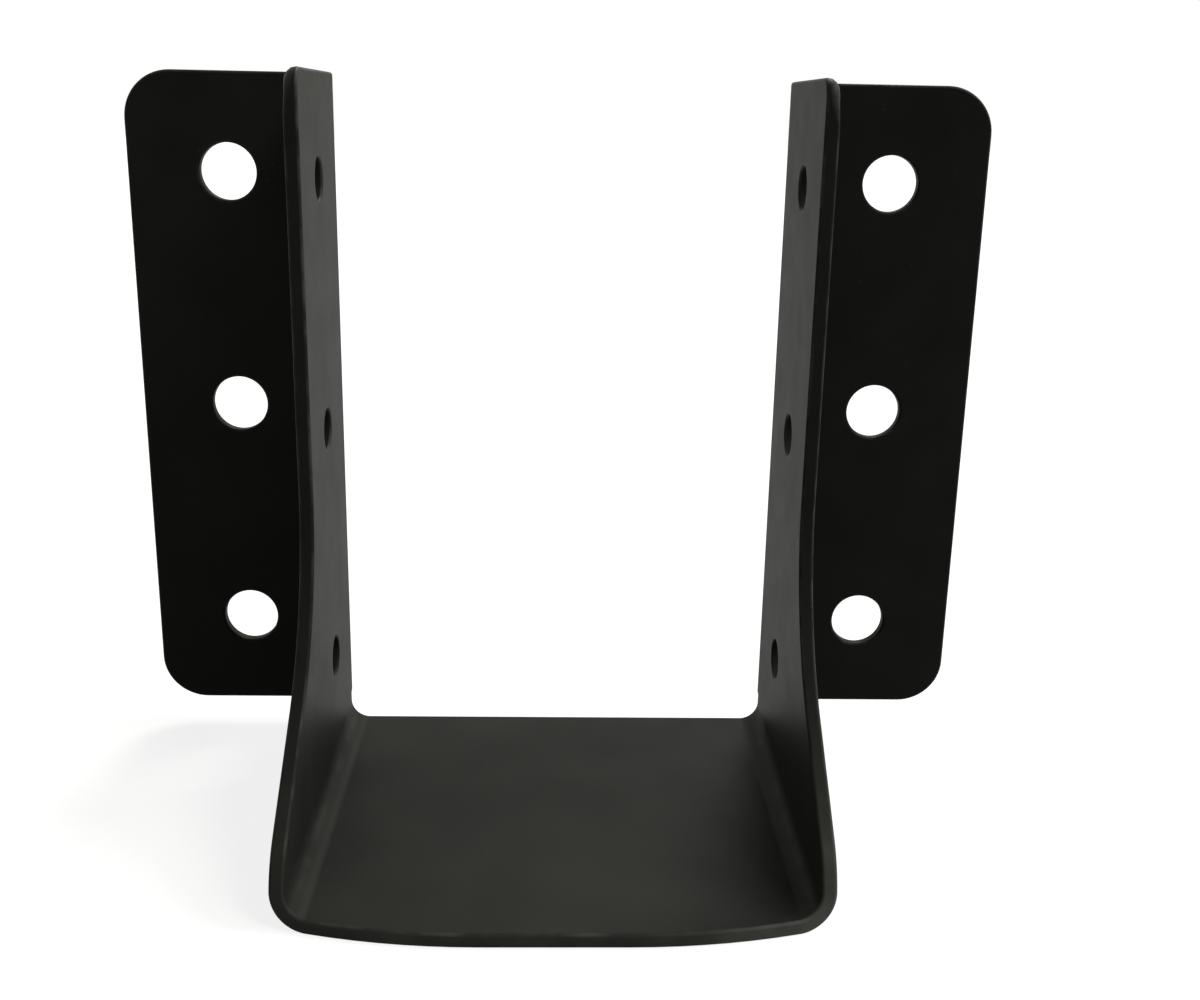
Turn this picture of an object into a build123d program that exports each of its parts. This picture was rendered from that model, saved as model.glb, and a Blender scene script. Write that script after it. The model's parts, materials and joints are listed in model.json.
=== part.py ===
from build123d import *
import os
from math import cos, pi, radians, sin, tan

# A joist hanger of the open U kind: one blank of sheet steel, cut to shape and folded four times.
# Millimetres. X runs across the hanger, Y towards the header it is fixed to, Z up. The origin is
# in the middle of the hanger's box, at the underside of the seat that it stands on.

# The sheet and its folds
sheet = 2.7            # steel and its powder coat
seat_fold = 4.0        # inside radius where a wall turns up from the seat
flange_fold = 4.0      # inside radius where a flange turns out from its wall

# The hanger as a whole
inner_width = 90.5     # clear between the walls, for the joist
height = 139.7         # underside of the seat to the top of the walls
width = 175.0          # outer edge of one flange to outer edge of the other
depth = 91.0           # header face to the front edge of the seat

# The front edge of the blank, which runs over the seat, across each seat fold and up each wall
front_round = 110.0    # radius that eases the front edge back towards the seat folds
front_angle = 15.0     # its slope in degrees where it crosses a seat fold
brace_corner = 14.0    # radius where it turns into the slanting edge of the brace
brace_angle = 52.0     # lean of that slanting edge from upright, in degrees
brace_hollow = 46.0    # radius of the hollow between the slanting edge and the strip above it
strip_depth = 44.5     # header face to the upright front edge of the strip
strip_corner = 2.0     # radius at the top front corner of each wall

# The flanges
flange_foot = 5.2      # lower edge of a flange above the underside of the seat
flange_corner = 8.0    # radius of its outer corners
foot_corner = 2.0      # radius of its inner lower corner, beside the wall
fold_gap = 1.5         # height between the top of a seat fold and the foot of a flange fold

# The holes: three in each flange for bolts, three in each wall for screws into the joist
bolt_hole = 11.4       # diameter of the holes in the flanges
bolt_edge = 20.0       # outer edge of a flange to its row of holes
screw_hole = 8.0       # diameter of the holes in the walls
screw_back = 25.5      # header face to the row of holes in a wall
hole_end = 19.5        # end of a flange to the centre of its nearest hole
hole_count = 3         # holes in a row, at the same heights in flange and wall

# Places worked out from those sizes
header_face = depth / 2
front_edge = -depth / 2
wall_in = inner_width / 2
wall_out = wall_in + sheet
fold_start = wall_in - seat_fold
fold_top = sheet + seat_fold
fold_radius = seat_fold + sheet / 2
fold_length = fold_radius * pi / 2
back_edge = header_face - sheet - flange_fold
flange_start = wall_out + flange_fold
flange_edge = width / 2
strip_front = header_face - strip_depth
flange_fold_foot = fold_top + fold_gap
hole_low = flange_foot + hole_end
hole_pitch = (height - hole_end - hole_low) / (hole_count - 1)
hole_heights = [hole_low + hole_pitch * i for i in range(hole_count)]

# Where the front edge of the blank meets a seat fold, and where it leaves it for the wall
slope = radians(front_angle)
edge_at_seat = front_edge + front_round * (1 - cos(slope))
edge_at_wall = edge_at_seat + fold_length * tan(slope)


def seat():
    """The flat seat between its two folds, with the front edge eased back at both ends."""
    front_half = fold_start - front_round * sin(slope)
    right = [
        TangentArc((front_half, front_edge), (fold_start, edge_at_seat), tangent=(1, 0)),
        Line((fold_start, edge_at_seat), (fold_start, back_edge)),
    ]
    left = [mirror(edge, about=Plane.YZ) for edge in right]
    front = Line((-front_half, front_edge), (front_half, front_edge))
    back = Line((-fold_start, back_edge), (fold_start, back_edge))
    return extrude(make_face([front, back] + right + left), sheet)


def seat_fold_right():
    """The quarter bend from seat to wall. Its front edge is a straight line of the blank, so it
    lies along a helix, and the cut stays square to the sheet all the way round."""
    section = Plane.YZ.offset(fold_start) * Pos(0, sheet / 2) * Rectangle(2 * depth, sheet)
    bend = revolve(section, Axis((fold_start, 0, fold_top), (0, -1, 0)), revolution_arc=90)

    spare_turn = 15      # degrees that the cutting surface runs on past each end of the bend
    spare = 1.0          # and past the inside and outside of the sheet
    turn = 90 + 2 * spare_turn
    pitch = 2 * pi * fold_radius * tan(slope)
    lead_in = pitch * spare_turn / 360
    start = Plane(
        origin=(fold_start, edge_at_seat - lead_in, fold_top),
        x_dir=(-sin(radians(spare_turn)), 0, -cos(radians(spare_turn))),
        z_dir=(0, 1, 0),
    )
    edges = [
        start * Helix(pitch, pitch * turn / 360, radius, lefthand=True)
        for radius in (seat_fold - spare, seat_fold + sheet + spare)
    ]
    cut = Face.make_surface_from_curves(edges[0].edge(), edges[1].edge())
    pieces = split(bend, bisect_by=cut, keep=Keep.BOTH).solids().sort_by(Axis.Y)
    behind = Pos(fold_start, back_edge, 0) * Box(
        4 * seat_fold, 2 * depth, 4 * seat_fold, align=(Align.CENTER, Align.MIN, Align.CENTER)
    )
    return pieces[-1] - behind


def wall_right():
    """The upright wall: a brace whose front edge slants back from the seat, and a strip above."""
    lean = radians(brace_angle)
    foot = Vector(edge_at_wall, fold_top)
    brace_foot = foot + brace_corner * Vector(cos(slope) - cos(lean), sin(lean) - sin(slope))
    hollow_y = strip_front - brace_hollow * (1 - cos(lean))
    hollow_foot = Vector(hollow_y, brace_foot.Y + (hollow_y - brace_foot.X) / tan(lean))
    hollow_top = Vector(strip_front, hollow_foot.Y + brace_hollow * sin(lean))
    top = height - strip_corner
    outline = [
        TangentArc(foot, brace_foot, tangent=(sin(slope), cos(slope))),
        Line(brace_foot, hollow_foot),
        TangentArc(hollow_foot, hollow_top, tangent=(sin(lean), cos(lean))),
        Line(hollow_top, (strip_front, top)),
        TangentArc((strip_front, top), (strip_front + strip_corner, height), tangent=(0, 1)),
        Line((strip_front + strip_corner, height), (back_edge, height)),
        Line((back_edge, height), (back_edge, fold_top)),
        Line((back_edge, fold_top), foot),
    ]
    wall = extrude(Plane.YZ.offset(wall_in) * make_face(outline), sheet)
    for z in hole_heights:
        drill = Pos(wall_in + sheet / 2, header_face - screw_back, z) * Rot(0, 90, 0)
        wall -= drill * Cylinder(screw_hole / 2, 2 * sheet)
    return wall


def flange_right():
    """The flange that lies against the header, and the bend that carries it."""
    bend_height = height - flange_fold_foot
    middle = Pos(wall_in + sheet / 2, flange_fold_foot + bend_height / 2)
    section = Plane.XZ.offset(-back_edge) * middle * Rectangle(sheet, bend_height)
    bend = revolve(section, Axis((flange_start, back_edge, 0), (0, 0, -1)), revolution_arc=90)

    flat = Plane.XZ.offset(-header_face) * Pos(
        (flange_start + flange_edge) / 2, (flange_foot + height) / 2
    ) * Rectangle(flange_edge - flange_start, height - flange_foot)
    plate = extrude(flat, sheet)
    corners = plate.edges().filter_by(Axis.Y).group_by(Axis.X)
    plate = fillet(corners[-1], flange_corner)
    inner = plate.edges().filter_by(Axis.Y).group_by(Axis.X)[0].sort_by(Axis.Z)[0]
    plate = fillet(inner, foot_corner)
    for z in hole_heights:
        drill = Pos(flange_edge - bolt_edge, header_face - sheet / 2, z) * Rot(90, 0, 0)
        plate -= drill * Cylinder(bolt_hole / 2, 2 * sheet)
    return bend + plate


side = seat_fold_right() + wall_right() + flange_right()
u_bracket = seat() + side + mirror(side, about=Plane.YZ)

os.makedirs("parts", exist_ok=True)
export_step(u_bracket, "parts/u_bracket.step")
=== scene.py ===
import json
from math import cos, pi, radians, sin, tan

import bmesh
import bpy
from mathutils import Matrix, Vector


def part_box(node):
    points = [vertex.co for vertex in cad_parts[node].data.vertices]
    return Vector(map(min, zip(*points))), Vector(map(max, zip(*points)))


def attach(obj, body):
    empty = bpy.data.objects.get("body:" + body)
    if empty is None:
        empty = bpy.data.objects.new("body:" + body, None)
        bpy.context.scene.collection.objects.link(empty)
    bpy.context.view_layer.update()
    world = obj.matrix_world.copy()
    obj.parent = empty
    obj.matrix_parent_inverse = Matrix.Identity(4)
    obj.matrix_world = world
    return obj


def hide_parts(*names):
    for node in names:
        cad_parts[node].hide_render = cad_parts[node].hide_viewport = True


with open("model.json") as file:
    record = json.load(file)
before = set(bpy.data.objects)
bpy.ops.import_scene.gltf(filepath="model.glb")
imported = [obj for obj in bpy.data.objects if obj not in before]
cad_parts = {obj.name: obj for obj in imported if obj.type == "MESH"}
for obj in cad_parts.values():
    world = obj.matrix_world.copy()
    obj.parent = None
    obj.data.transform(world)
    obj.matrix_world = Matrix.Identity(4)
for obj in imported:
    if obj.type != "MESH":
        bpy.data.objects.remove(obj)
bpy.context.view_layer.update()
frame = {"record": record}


# ---------------------------------------------------------------------------------------------
# The hanger. It is one piece of heavy sheet steel, cut to shape, drilled and folded four times,
# then powder coated matt black. Bolts through its two flanges hold it to a header, and the end
# of a joist stands on its seat, between its walls.

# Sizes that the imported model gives
mounts = {mount["name"]: mount for mount in frame["record"]["mounts"]}
bolts = mounts["header_bolts_outer"]
screws = mounts["joist_screws_right"]
low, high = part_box("u_bracket")
sheet = mounts["seat_face"]["pos_m"][2]
wall_in = mounts["joist_side_right"]["pos_m"][0]

# The folds, by their inside radius, and the shape of the front edge from the seat to the top
seat_fold = 0.004
flange_fold = 0.004
front_round = 0.110         # eases the front edge of the seat back towards its folds
front_angle = radians(15)   # slope of the edge where it crosses a fold
brace_corner = 0.014        # turns it up into the brace
brace_angle = radians(52)   # lean of the brace from upright
brace_hollow = 0.046        # leads from the brace into the upright strip
strip_depth = 0.0445        # header face to the front of the strip
strip_corner = 0.004

# The flanges
flange_foot = 0.0052        # seat's underside to a flange's lower edge
flange_corner = 0.0095
foot_corner = 0.002
fold_gap = 0.0015           # top of a seat fold to the foot of a flange fold

# How far the steel and its coat are rounded along every edge, and where the front lip carries a painted
# highlight
edge_round = 0.0006
corner_round = 0.0020       # on the outside of the strip's top front corner
lip_highlight_start = 0.012           # from here to the right, the lip's painted highlight grows stronger
lip_highlight_all = 0.25         # how strong the painted highlight is on its middle and left
lip_highlight_right = 0.7        # what is added at its right end

# Where the folds lie, in space and along the blank, measured on the middle of the sheet
fold_start = wall_in - seat_fold
fold_top = sheet + seat_fold
fold_radius = seat_fold + sheet / 2
fold_end = fold_start + fold_radius * pi / 2
back_edge = high.y - sheet - flange_fold
flange_start = wall_in + sheet + flange_fold
flange_radius = flange_fold + sheet / 2
flange_line = back_edge + flange_radius * pi / 2
blank_top = fold_end + high.z - fold_top
strip_front = high.y - strip_depth


def arc(centre, radius, start, end, step=radians(6)):
    """Points along an arc from one angle to another, both ends included."""
    count = max(2, round(abs(end - start) / step))
    turns = [start + (end - start) * i / count for i in range(count + 1)]
    return [(centre[0] + radius * cos(t), centre[1] + radius * sin(t)) for t in turns]


def half_outline():
    """The right half of the flat blank, from the middle of its front edge to that of its back.
    The first number of a point runs along the strip that becomes wall, seat and wall, and the
    second from the front towards the header."""
    fine, finer = radians(3), radians(2)
    coarse = radians(15)
    eased = (fold_start - front_round * sin(front_angle), low.y + front_round)
    points = [(0, low.y)]
    points += arc(eased, front_round, -pi / 2, front_angle - pi / 2, finer)

    wall_edge = points[-1][1] + (fold_end - fold_start) * tan(front_angle)
    corner = (
        fold_end - brace_corner * sin(front_angle),
        wall_edge + brace_corner * cos(front_angle),
    )
    points += arc(corner, brace_corner, front_angle - pi / 2, brace_angle - pi / 2)

    hollow_v = strip_front - brace_hollow * (1 - cos(brace_angle))
    hollow_u = points[-1][0] + (hollow_v - points[-1][1]) / tan(brace_angle)
    hollow = (hollow_u + brace_hollow * sin(brace_angle), strip_front - brace_hollow)
    points += arc(hollow, brace_hollow, pi / 2 + brace_angle, pi / 2, fine)

    strip_end = (blank_top - strip_corner, strip_front + strip_corner)
    points += [(blank_top - 2 * strip_corner, strip_front)]
    points += arc(strip_end, strip_corner, -pi / 2, 0, coarse)
    points += [(blank_top, strip_front + 2 * strip_corner)]

    foot = fold_end + flange_foot - fold_top
    outer = flange_line + high.x - flange_start
    relief = fold_end + fold_gap
    points += arc((blank_top - flange_corner, outer - flange_corner), flange_corner, 0, pi / 2)
    points += arc((foot + flange_corner, outer - flange_corner), flange_corner, pi / 2, pi)
    points += arc((foot + foot_corner, flange_line + foot_corner), foot_corner, pi, 3 * pi / 2, coarse)
    points += [(relief, flange_line), (relief, back_edge), (fold_end, back_edge), (0, back_edge)]
    return points


def hole_rings():
    """The twelve holes, each a ring of points that runs against the outline's direction."""
    bolt_v = flange_line + bolts["dims"]["spacing_x_mm"] / 2000 - flange_start
    screw_v = screws["pos_m"][1]
    rings = []
    for level in (-1, 0, 1):
        u = fold_end - fold_top + bolts["pos_m"][2] + level * bolts["dims"]["spacing_y_mm"] / 2000
        for side in (-1, 1):
            for v, hole in ((bolt_v, bolts), (screw_v, screws)):
                rings.append(arc((side * u, v), hole["dims"]["hole_r_mm"] / 1000, 2 * pi, 0)[:-1])
    return rings


def add_rim(mesh, ring):
    """The rounded edge of the sheet along one ring of points, with the direction that each point
    faces, how far its coat is worn and lightened by a painted highlight, and how much painted
    highlight its front lip takes. Returns the edges that the two faces are filled from."""
    facing = mesh.verts.layers.float_vector["facing"]
    edge_wear_and_highlight = mesh.verts.layers.float["edge_wear_and_highlight"]
    painted_lip_highlight = mesh.verts.layers.float["painted_lip_highlight"]
    turns = [radians(90 - 22.5 * i) for i in range(5)]      # a quarter round in four steps
    section = [(1, turn) for turn in turns] + [(-1, turn) for turn in turns[::-1]]
    rows = [[] for _ in section]
    for before, here, after in zip(ring[-1:] + ring[:-1], ring, ring[1:] + ring[:1]):
        into = Vector((here[0] - before[0], here[1] - before[1])).normalized()
        away = Vector((after[0] - here[0], after[1] - here[1])).normalized()
        out_in, out_away = Vector((into.y, -into.x)), Vector((away.y, -away.x))
        out = (out_in + out_away) / (1 + out_in.dot(out_away))
        from_corner = max(blank_top - abs(here[0]), here[1] - strip_front) / strip_corner
        outer_round = edge_round + (corner_round - edge_round) * min(1, max(0, 2 - from_corner))
        at_front = min(1, max(0, 1 - (here[1] - low.y) / brace_corner))
        at_right = min(1, max(0, (here[0] - lip_highlight_start) / (fold_start - lip_highlight_start)))
        for row, (face, turn) in zip(rows, section):
            bend = edge_round if face > 0 else outer_round
            inset = bend * (1 - cos(turn))
            level = face * (sheet / 2 - bend + bend * sin(turn))
            vertex = mesh.verts.new((here[0] - out.x * inset, here[1] - out.y * inset, level))
            flat = out.normalized() * cos(turn)
            vertex[facing] = (flat.x, flat.y, face * sin(turn))
            # edge wear and painted highlight, strongest halfway round each rounded edge
            vertex[edge_wear_and_highlight] = sin(2 * turn)
            # the front lip takes a painted highlight, stronger towards its right end
            at_all, more_at_right = cos(turn) ** 2, at_right ** 2 * cos(turn) ** 0.5
            lip_highlight = lip_highlight_all * at_all + lip_highlight_right * more_at_right
            vertex[painted_lip_highlight] = at_front * lip_highlight
            row.append(vertex)
    for upper, lower in zip(rows, rows[1:]):
        for i in range(len(ring)):
            mesh.faces.new((upper[i - 1], upper[i], lower[i], lower[i - 1]))
    borders = (rows[0], rows[-1])
    return [[mesh.edges.get((row[i - 1], row[i])) for i in range(len(ring))] for row in borders]


def blank_mesh():
    """The flat blank as a closed mesh."""
    half = half_outline()
    ring = half[:-1] + [(-u, v) for u, v in half[::-1]][:-1]
    mesh = bmesh.new()
    mesh.verts.layers.float_vector.new("facing")
    mesh.verts.layers.float.new("edge_wear_and_highlight")
    mesh.verts.layers.float.new("painted_lip_highlight")
    mesh.verts.layers.float.new("fold_middle")
    rims = [add_rim(mesh, points) for points in [ring] + hole_rings()]
    for side in (0, 1):
        borders = [edge for rim in rims for edge in rim[side]]
        bmesh.ops.triangle_fill(mesh, use_beauty=True, edges=borders)
    bmesh.ops.recalc_face_normals(mesh, faces=mesh.faces)
    return mesh


def cut_at_folds(mesh, steps=16):
    """Divides the blank across each fold, so that it can take the fold's curve."""
    sides = [(Vector((-1, 0, 0)), fold_start, fold_end), (Vector((1, 0, 0)), fold_start, fold_end)]
    for across, start, end in sides + [(Vector((0, 1, 0)), back_edge, flange_line)]:
        for i in range(steps + 1):
            everything = mesh.verts[:] + mesh.edges[:] + mesh.faces[:]
            place = across * (start + (end - start) * i / steps)
            bmesh.ops.bisect_plane(mesh, geom=everything, dist=1e-7, plane_co=place, plane_no=across)


def folded(u, v, n):
    """Where a point of the right half of the blank comes to lie, and the directions in space in
    which its u, its v and its thickness then run."""
    if v > back_edge:
        turn = min(1, (v - back_edge) / (flange_line - back_edge)) * pi / 2
        reach = flange_radius + n
        flat = max(0, v - flange_line)
        place = Vector((
            flange_start - reach * cos(turn) + flat,
            back_edge + reach * sin(turn),
            fold_top + u - fold_end,
        ))
        along, through = Vector((sin(turn), cos(turn), 0)), Vector((-cos(turn), sin(turn), 0))
        return place, (Vector((0, 0, 1)), along, through)
    turn = min(1, max(0, (u - fold_start) / (fold_end - fold_start))) * pi / 2
    reach = fold_radius - n
    place = Vector((
        min(u, fold_start) + reach * sin(turn),
        v,
        fold_top - reach * cos(turn) + max(0, u - fold_end),
    ))
    along, through = Vector((cos(turn), 0, sin(turn))), Vector((-sin(turn), 0, cos(turn)))
    return place, (along, Vector((0, 1, 0)), through)


def fold(mesh):
    """Folds both walls up and both flanges out, marks how near each point lies to the middle of a
    seat fold, for the painted shade and painted crease highlight there and the drawn relief, and
    turns the direction of each point with the steel."""
    facing = mesh.verts.layers.float_vector["facing"]
    fold_middle = mesh.verts.layers.float["fold_middle"]
    for vertex in mesh.verts:
        side = -1 if vertex.co.x < 0 else 1
        across = (abs(vertex.co.x) - fold_start) / (fold_end - fold_start)
        # how near the middle of a seat fold a point lies; it masks the painted fold shade and crease
        # highlight
        vertex[fold_middle] = sin(pi * min(1, max(0, across))) ** 2
        place, axes = folded(side * vertex.co.x, vertex.co.y, vertex.co.z)
        flat = vertex[facing]
        turned = axes[0] * side * flat.x + axes[1] * flat.y + axes[2] * flat.z
        vertex.co = (side * place.x, place.y, place.z)
        vertex[facing] = (side * turned.x, turned.y, turned.z)


steel = blank_mesh()
cut_at_folds(steel)
fold(steel)
facing = steel.verts.layers.float_vector["facing"]
directions = [vertex[facing].normalized() for vertex in steel.verts]
hanger_mesh = bpy.data.meshes.new("hanger")
steel.to_mesh(hanger_mesh)
steel.free()
hanger_mesh.shade_smooth()
hanger_mesh.normals_split_custom_set_from_vertices(directions)
hanger = bpy.data.objects.new("hanger", hanger_mesh)
bpy.context.scene.collection.objects.link(hanger)

# The powder coat is baked on after the folding. It has a slight orange peel and drifts a little
# in tone. It runs thin and paler along the rounded edges, partly worn and partly as a painted
# highlight, and is drawn in the folds. Painted shade darkens the middle of each seat fold, a
# painted highlight runs along its crease, and a painted highlight greys the front lip, most at its
# right end.
coat_thick = (0.0120, 0.0120, 0.0113, 1)
coat_thin = (0.0186, 0.0186, 0.0175, 1)
coat_specks = (0.030, 0.030, 0.028, 1)
# painted shade in the middle of the seat folds
painted_fold_shade = (0.0110, 0.0110, 0.0104, 1)
# painted highlight along the crease of the seat folds
painted_crease_highlight = (0.026, 0.026, 0.0245, 1)
# painted highlight on the front lip
coat_lip_highlight = (0.190, 0.190, 0.178, 1)
# paler rims: partly edge wear, partly a painted highlight
coat_edge_wear_and_highlight = (0.060, 0.060, 0.056, 1)
coat_mirror = 1.115         # its index of refraction, low for so matt a coat

# How large the patches of each effect are, and how deep its relief is
drift_size = 0.014
speck_size = 0.0012
edge_wear_and_highlight_size = 0.006
crease_highlight_size = 0.009
lip_highlight_size = 0.008
matt_size = 0.007
peel_size = 0.0014
peel_depth = 0.000005
drawn_size = 0.006
drawn_depth = 0.00004

coat = bpy.data.materials.new("black_powder_coat")
coat.use_nodes = True
coat_nodes = coat.node_tree.nodes
coat_links = coat.node_tree.links
coat_shader = coat_nodes["Principled BSDF"]
coat_shader.inputs["IOR"].default_value = coat_mirror
coat_place = coat_nodes.new("ShaderNodeTexCoord").outputs["Object"]


def coat_noise(size, detail):
    """Noise that varies over about one size, in metres, the same in every direction."""
    noise = coat_nodes.new("ShaderNodeTexNoise")
    noise.inputs["Scale"].default_value = 1 / size
    noise.inputs["Detail"].default_value = detail
    coat_links.new(coat_place, noise.inputs["Vector"])
    return noise.outputs["Fac"]


def coat_range(value, start, end, at_start, at_end):
    """Turns a value that runs from start to end into one that runs between two others."""
    node = coat_nodes.new("ShaderNodeMapRange")
    node.inputs["From Min"].default_value = start
    node.inputs["From Max"].default_value = end
    node.inputs["To Min"].default_value = at_start
    node.inputs["To Max"].default_value = at_end
    coat_links.new(value, node.inputs["Value"])
    return node.outputs["Result"]


def coat_math(operation, first, second):
    """One operation on two values, of which the second may be a plain number."""
    node = coat_nodes.new("ShaderNodeMath")
    node.operation = operation
    coat_links.new(first, node.inputs[0])
    if isinstance(second, float):
        node.inputs[1].default_value = second
    else:
        coat_links.new(second, node.inputs[1])
    return node.outputs["Value"]


def coat_mix(mask, plain, marked):
    """A colour that goes from one to another with a mask. The first may be a socket."""
    node = coat_nodes.new("ShaderNodeMix")
    node.data_type = "RGBA"
    coat_links.new(mask, node.inputs["Factor"])
    if isinstance(plain, tuple):
        node.inputs["A"].default_value = plain
    else:
        coat_links.new(plain, node.inputs["A"])
    node.inputs["B"].default_value = marked
    return node.outputs["Result"]


def coat_mark(name):
    """How strongly the steel carries one of its marks at each point."""
    node = coat_nodes.new("ShaderNodeAttribute")
    node.attribute_name = name
    return node.outputs["Fac"]


def coat_bump(height, depth, beneath=None):
    """Relief of a depth in metres, on top of another relief where there is one."""
    node = coat_nodes.new("ShaderNodeBump")
    node.inputs["Distance"].default_value = depth
    coat_links.new(height, node.inputs["Height"])
    if beneath:
        coat_links.new(beneath, node.inputs["Normal"])
    return node.outputs["Normal"]


edge_wear_and_highlight = coat_mark("edge_wear_and_highlight")
fold_middle = coat_mark("fold_middle")
drift = coat_range(coat_noise(drift_size, 4.0), 0.3, 0.7, 0.0, 1.0)
specks = coat_range(coat_noise(speck_size, 1.0), 0.77, 0.82, 0.0, 1.0)
# the edges are paler in patches, partly worn and partly as a painted highlight
edge_patches = coat_range(coat_noise(edge_wear_and_highlight_size, 3.0), 0.40, 0.65, 0.1, 1.0)
edge_wear_and_highlight_mask = coat_math("MULTIPLY", edge_wear_and_highlight, edge_patches)
# a painted highlight along the middle of each seat fold's crease, in ragged patches
crease = coat_math("POWER", fold_middle, 4.0)
crease_highlight_patches = coat_range(coat_noise(crease_highlight_size, 4.0), 0.38, 0.62, 0.2, 1.0)
crease_highlight = coat_math("MULTIPLY", crease, crease_highlight_patches)
# a painted highlight on the front lip, in patches
lip_patches = coat_range(coat_noise(lip_highlight_size, 3.0), 0.35, 0.65, 0.6, 1.0)
lip = coat_math("MULTIPLY", coat_mark("painted_lip_highlight"), lip_patches)

powder = coat_mix(drift, coat_thick, coat_thin)
powder = coat_mix(specks, powder, coat_specks)
# painted shade in the folds, then painted highlights on the crease, on the edges (with their wear) and
# on the lip
powder = coat_mix(fold_middle, powder, painted_fold_shade)
powder = coat_mix(crease_highlight, powder, painted_crease_highlight)
powder = coat_mix(edge_wear_and_highlight_mask, powder, coat_edge_wear_and_highlight)
powder = coat_mix(lip, powder, coat_lip_highlight)
coat_links.new(powder, coat_shader.inputs["Base Color"])

matt = coat_range(coat_noise(matt_size, 3.0), 0.3, 0.7, 0.475, 0.525)
matt = coat_math("SUBTRACT", matt, coat_math("MULTIPLY", edge_wear_and_highlight, 0.05))
matt = coat_math("SUBTRACT", matt, coat_math("MULTIPLY", crease_highlight, 0.08))
coat_links.new(matt, coat_shader.inputs["Roughness"])

orange_peel = coat_bump(coat_noise(peel_size, 2.0), peel_depth)
drawn = coat_math("MULTIPLY", fold_middle, coat_noise(drawn_size, 2.0))
coat_links.new(coat_bump(drawn, drawn_depth, orange_peel), coat_shader.inputs["Normal"])
hanger_mesh.materials.append(coat)

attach(hanger, "root")
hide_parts("u_bracket")


# ---------------------------------------------------------------------------------------------
# The floor that the hanger stands on: a wide pale sheet with no gloss. It lights the hanger as
# a mid grey does, and shows almost white, with the hanger's soft shadow on it.

floor_reach = 6.0
floor_grey = (0.36, 0.36, 0.36, 1)
floor_glow = 0.85

pale = bpy.data.materials.new("pale_floor")
pale.use_nodes = True
pale_shader = pale.node_tree.nodes["Principled BSDF"]
pale_shader.inputs["Base Color"].default_value = floor_grey
pale_shader.inputs["Roughness"].default_value = 0.9
pale_shader.inputs["Specular IOR Level"].default_value = 0.0
pale_shader.inputs["Emission Color"].default_value = (1, 1, 1, 1)


def seen(tree):
    """1 where the floor or the sky is looked at, straight, mirrored or through something clear,
    and 0 where it lights a surface."""
    path = tree.nodes.new("ShaderNodeLightPath")
    shown = path.outputs["Is Camera Ray"]
    for way in ("Is Glossy Ray", "Is Transmission Ray"):
        either = tree.nodes.new("ShaderNodeMath")
        either.operation = "MAXIMUM"
        tree.links.new(shown, either.inputs[0])
        tree.links.new(path.outputs[way], either.inputs[1])
        shown = either.outputs["Value"]
    return shown


glow = pale.node_tree.nodes.new("ShaderNodeMath")
glow.operation = "MULTIPLY"
glow.inputs[1].default_value = floor_glow
pale.node_tree.links.new(seen(pale.node_tree), glow.inputs[0])
pale.node_tree.links.new(glow.outputs["Value"], pale_shader.inputs["Emission Strength"])

floor_mesh = bpy.data.meshes.new("floor")
floor_corners = [(x * floor_reach, y * floor_reach, 0) for x, y in ((-1, -1), (1, -1), (1, 1), (-1, 1))]
floor_mesh.from_pydata(floor_corners, [], [(0, 1, 2, 3)])
floor_mesh.materials.append(pale)
floor = bpy.data.objects.new("floor", floor_mesh)
bpy.context.scene.collection.objects.link(floor)


# ---------------------------------------------------------------------------------------------
# The studio light: a white sky that gives little light of its own, and three wide soft lamps a
# long way off, the strongest from the right. Together they light the seat at a plain level.

sky_light_level = 0.03
lamp_tint = (1.0, 1.0, 0.93)
lamp_spread = radians(22)   # how wide a lamp looks from the hanger, which softens its shadow

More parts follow.
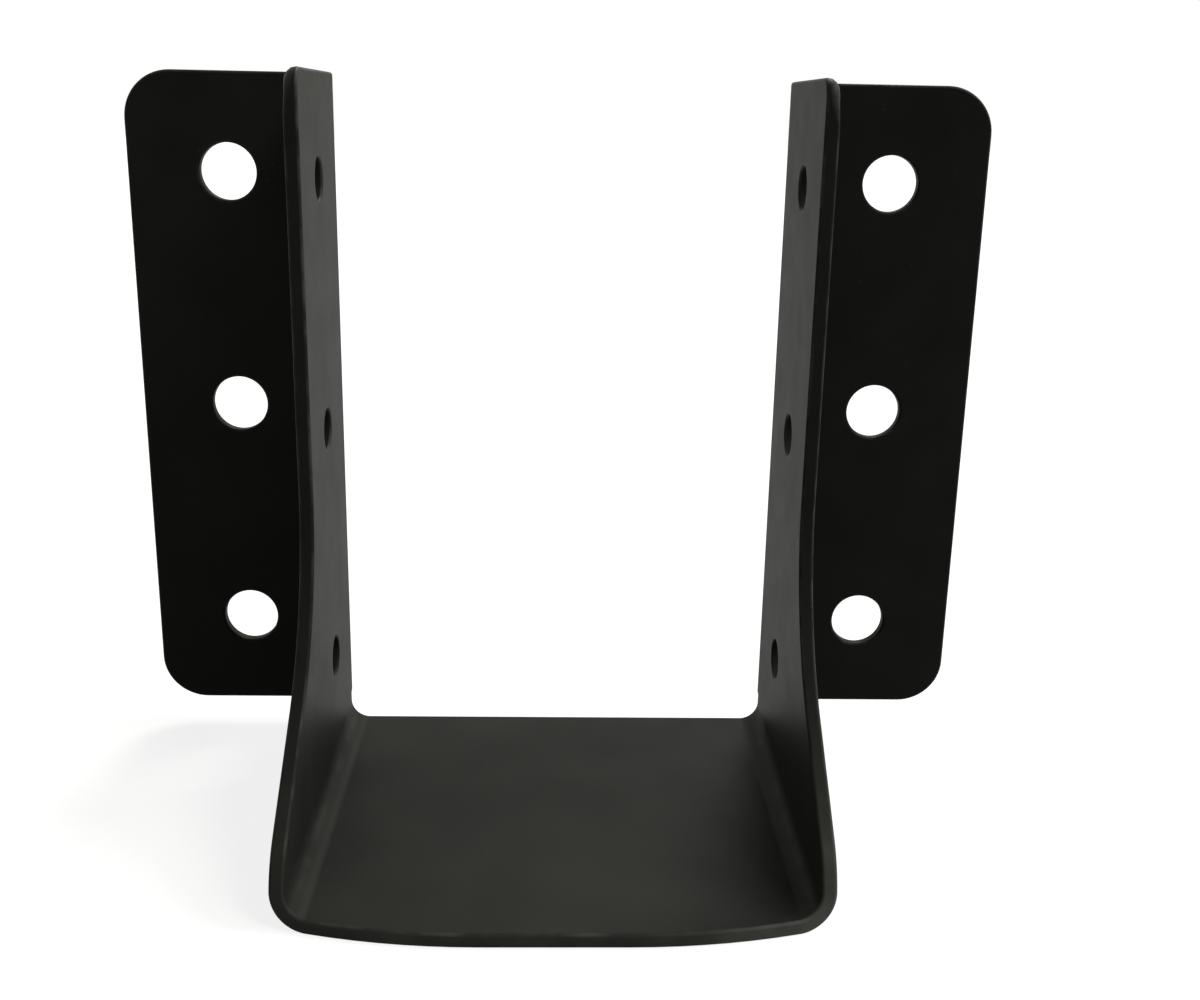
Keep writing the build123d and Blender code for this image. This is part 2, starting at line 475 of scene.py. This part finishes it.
sky = bpy.data.worlds.new("white_sky")
sky.use_nodes = True
sky_nodes = sky.node_tree.nodes
sky_links = sky.node_tree.links
sky_light = sky_nodes["Background"]
sky_strength = sky_nodes.new("ShaderNodeMapRange")
sky_strength.inputs["To Min"].default_value = sky_light_level
sky_strength.inputs["To Max"].default_value = 1.0
sky_links.new(seen(sky.node_tree), sky_strength.inputs["Value"])
sky_links.new(sky_strength.outputs["Result"], sky_light.inputs["Strength"])
sky_colour = sky_nodes.new("ShaderNodeMix")
sky_colour.data_type = "RGBA"
sky_colour.inputs["A"].default_value = (*lamp_tint, 1)
sky_colour.inputs["B"].default_value = (1, 1, 1, 1)
sky_path = sky_nodes.new("ShaderNodeLightPath")
sky_links.new(sky_path.outputs["Is Camera Ray"], sky_colour.inputs["Factor"])
sky_links.new(sky_colour.outputs["Result"], sky_light.inputs["Color"])
bpy.context.scene.world = sky


def soft_lamp(name, bearing, height, level):
    """One lamp. Its bearing runs from the header side towards the right, its height is an angle,
    and a white card that faces it renders at its level."""
    data = bpy.data.lights.new(name, "SUN")
    data.color = lamp_tint
    data.angle = lamp_spread
    data.energy = level * pi
    lamp = bpy.data.objects.new(name, data)
    lamp.rotation_euler = (radians(90) - height, 0, pi - bearing)
    bpy.context.scene.collection.objects.link(lamp)


soft_lamp("side_lamp", radians(80), radians(42), 0.58)
soft_lamp("front_lamp", radians(122), radians(48), 0.30)
soft_lamp("back_lamp", radians(15), radians(45), 0.46)
bpy.context.scene.view_settings.view_transform = "Standard"


# ---------------------------------------------------------------------------------------------
# The camera stands close in front of the hanger, a little below the level of its top. It looks
# down onto the seat and slightly to the right, and is tipped a little to one side.

camera_stand = Vector((-0.0008, -0.24091, 0.13291))
camera_turn = radians(-2.0)
camera_dip = radians(15.89)
camera_tip = radians(1.18)

camera_data = bpy.data.cameras.new("camera")
camera_data.lens = 40.71
camera_data.sensor_width = 36
camera_data.clip_start = 0.01
camera = bpy.data.objects.new("camera", camera_data)
bpy.context.scene.collection.objects.link(camera)
camera.matrix_world = (
    Matrix.Translation(camera_stand)
    @ Matrix.Rotation(camera_turn, 4, "Z")
    @ Matrix.Rotation(radians(90) - camera_dip, 4, "X")
    @ Matrix.Rotation(camera_tip, 4, "Z")
)
bpy.context.scene.camera = camera
